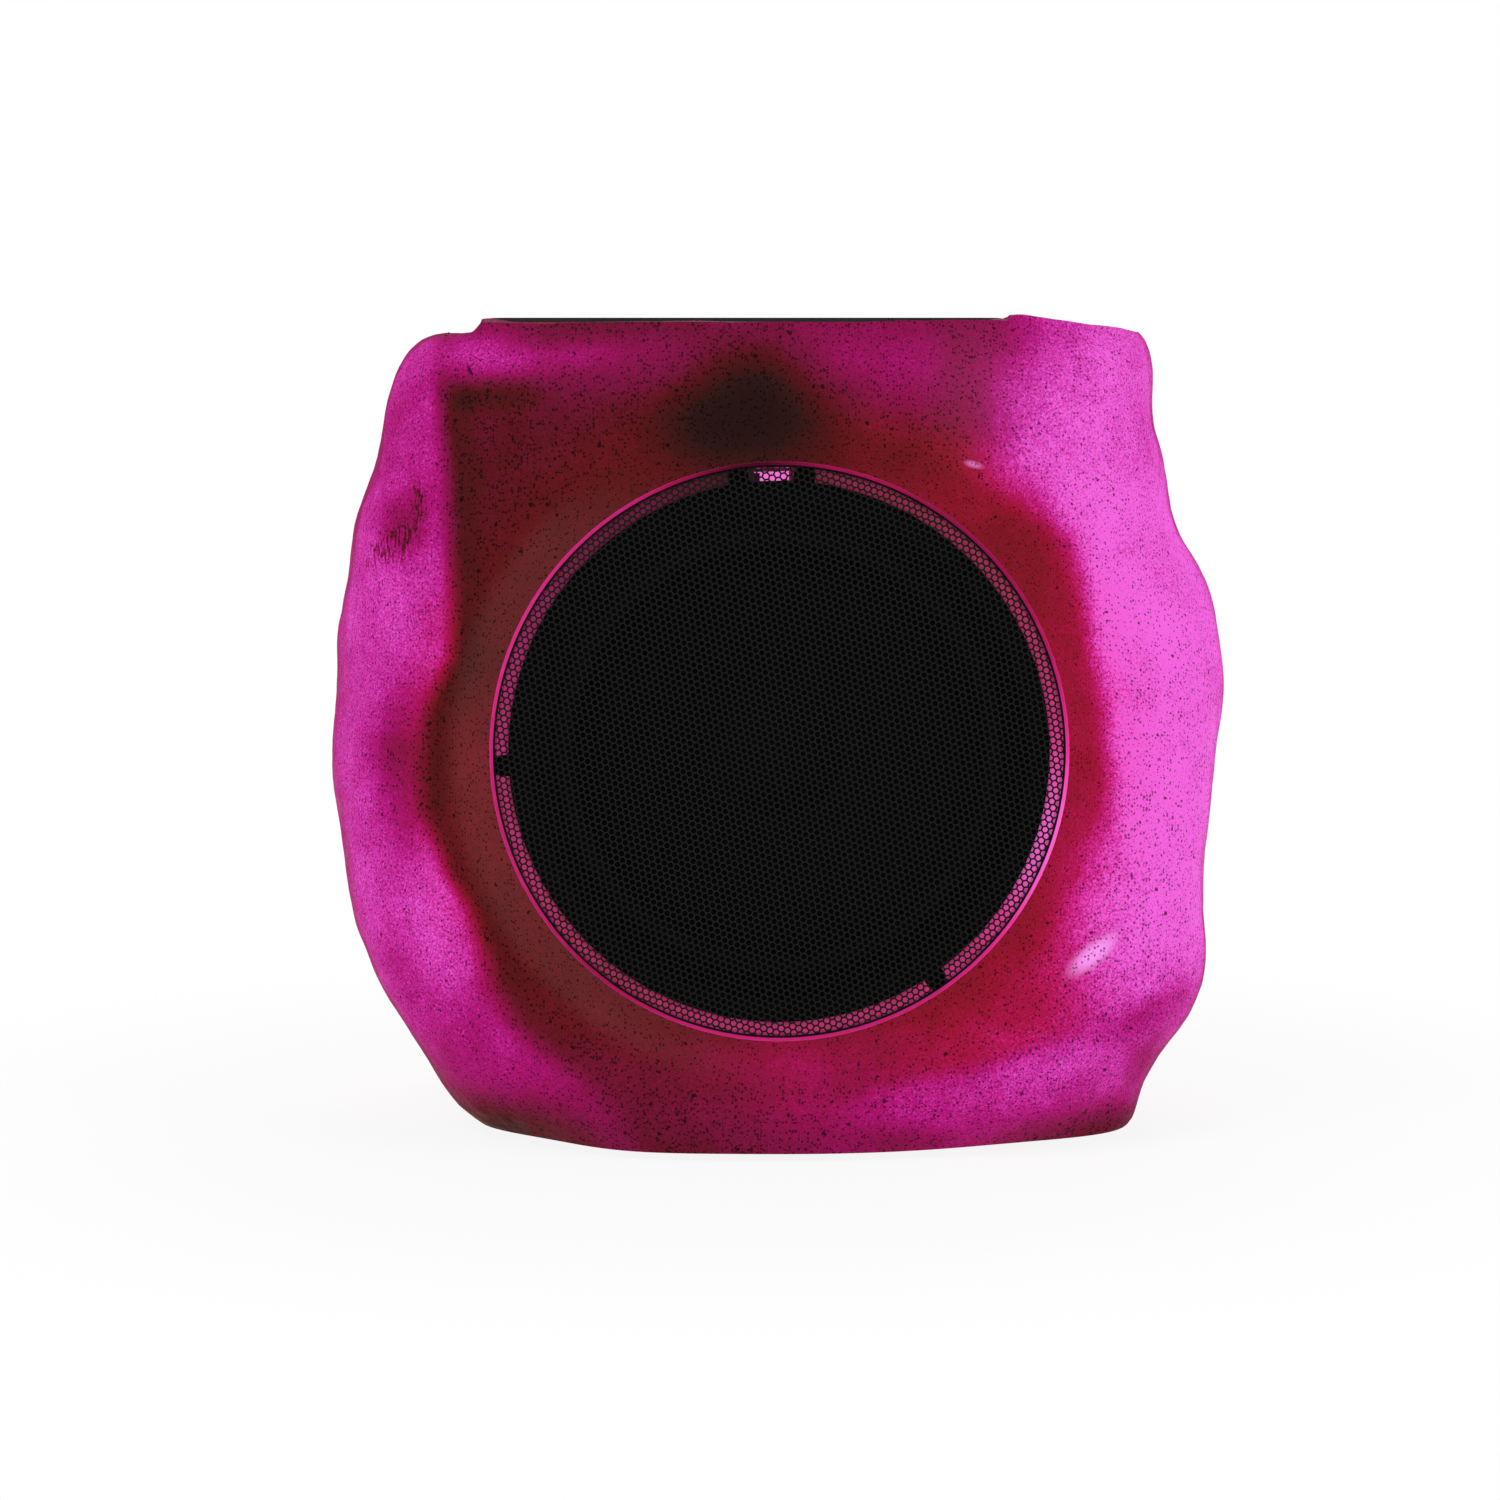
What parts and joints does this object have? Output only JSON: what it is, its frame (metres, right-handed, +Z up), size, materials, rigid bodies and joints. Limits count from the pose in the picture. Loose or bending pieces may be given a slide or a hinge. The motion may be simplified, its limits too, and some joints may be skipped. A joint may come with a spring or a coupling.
{
  "type": "rock shaped garden speaker",
  "caption": "Garden speaker in a lit, moulded rock shell with a round perforated grille, a solar tray on top and a control panel at the back.",
  "frame": {"origin": "on the floor, under the middle of the rock's box", "axes": "+Z up, the grille faces -Y, +X to the right seen from the front"},
  "size_m": [0.2835, 0.2246, 0.2543],
  "materials": {
    "rock": "satin, translucent, speckled",
    "grille_steel": "matt black",
    "frame_steel": "black",
    "plated_steel": "zinc plated",
    "magnet": "matt ferrite",
    "rubber": "matt",
    "foam": "closed cell",
    "paper": "pressed paper",
    "cloth": "resin treated",
    "coil": "wound",
    "black_plastic": "fine texture",
    "solar_cell": "clear epoxy over cells",
    "battery_wrap": "heat-shrunk wrap",
    "board": "solder mask",
    "white_board": "white solder mask",
    "light_chip": "clear",
    "clear_plastic": "clear",
    "aluminium": "bare sheet",
    "socket_plastic": "moulded",
    "button_rubber": "matt",
    "lead": "matt"
  },
  "bodies": {
    "housing": {"rock_shell": "rock", "grille": "grille_steel", "driver_gasket": "foam", "driver_frame": "frame_steel", "driver_screws": "frame_steel", "top_plate": "plated_steel", "magnet": "magnet", "pole_plate": "plated_steel", "driver_terminal": "board", "solar_tray": "black_plastic", "solar_panel": "solar_cell", "solar_gasket": "foam", "solar_screws": "plated_steel", "battery_pack": "battery_wrap", "battery_lid": "black_plastic", "battery_lid_screws": "plated_steel", "antenna_board": "board", "base_plate": "black_plastic", "base_screws": "plated_steel", "control_panel": "black_plastic", "panel_gasket": "foam", "panel_screws": "plated_steel", "status_lens": "clear_plastic", "port_pin": "plated_steel", "aux_socket": "black_plastic", "charge_socket": "plated_steel", "main_board": "board", "board_screws": "plated_steel", "tact_switches": "black_plastic", "lead_sockets": "socket_plastic", "module_shield": "plated_steel", "heat_sink": "aluminium", "capacitors": "aluminium", "light_bracket": "aluminium", "light_bracket_screws": "plated_steel", "light_board": "white_board", "light_board_screws": "plated_steel", "light_chips": "light_chip", "speaker_lead": "lead", "light_lead": "lead", "battery_lead": "lead", "solar_lead": "lead", "foot_rear_right": "rubber", "foot_rear_left": "rubber", "foot_front_left": "rubber", "foot_front_right": "rubber"},
    "cone_assembly": {"cone": "paper", "dust_cap": "paper", "voice_coil": "coil", "surround": "rubber", "spider": "cloth"},
    "power_button": {"power_button": "button_rubber"},
    "light_button": {"light_button": "button_rubber"},
    "link_button": {"link_button": "button_rubber"},
    "volume_down_button": {"volume_down_button": "button_rubber"},
    "volume_up_button": {"volume_up_button": "button_rubber"},
    "port_cover": {"port_cover": "button_rubber"}
  },
  "joints": [
    {"name": "cone_stroke", "type": "slide", "parent": "housing", "child": "cone_assembly", "axis": [0, -0.9962, 0.0872], "range_m": [-0.004, 0.004], "stiffness_N_per_m": 2000, "deforming": ["surround", "spider"]},
    {"name": "power_button_press", "type": "slide", "parent": "housing", "child": "power_button", "axis": [0, -1, 0], "range_m": [0, 0.0008], "stiffness_N_per_m": 2500, "springref_m": -0.0004},
    {"name": "light_button_press", "type": "slide", "parent": "housing", "child": "light_button", "axis": [0, -1, 0], "range_m": [0, 0.0008], "stiffness_N_per_m": 2500, "springref_m": -0.0004},
    {"name": "link_button_press", "type": "slide", "parent": "housing", "child": "link_button", "axis": [0, -1, 0], "range_m": [0, 0.0008], "stiffness_N_per_m": 2500, "springref_m": -0.0004},
    {"name": "volume_down_button_press", "type": "slide", "parent": "housing", "child": "volume_down_button", "axis": [0, -1, 0], "range_m": [0, 0.0008], "stiffness_N_per_m": 2500, "springref_m": -0.0004},
    {"name": "volume_up_button_press", "type": "slide", "parent": "housing", "child": "volume_up_button", "axis": [0, -1, 0], "range_m": [0, 0.0008], "stiffness_N_per_m": 2500, "springref_m": -0.0004},
    {"name": "port_cover_hinge", "type": "hinge", "parent": "housing", "child": "port_cover", "pos_m": [0, 0.10915, 0.107], "axis": [-1, 0, 0], "range_deg": [0, 100]}
  ]
}
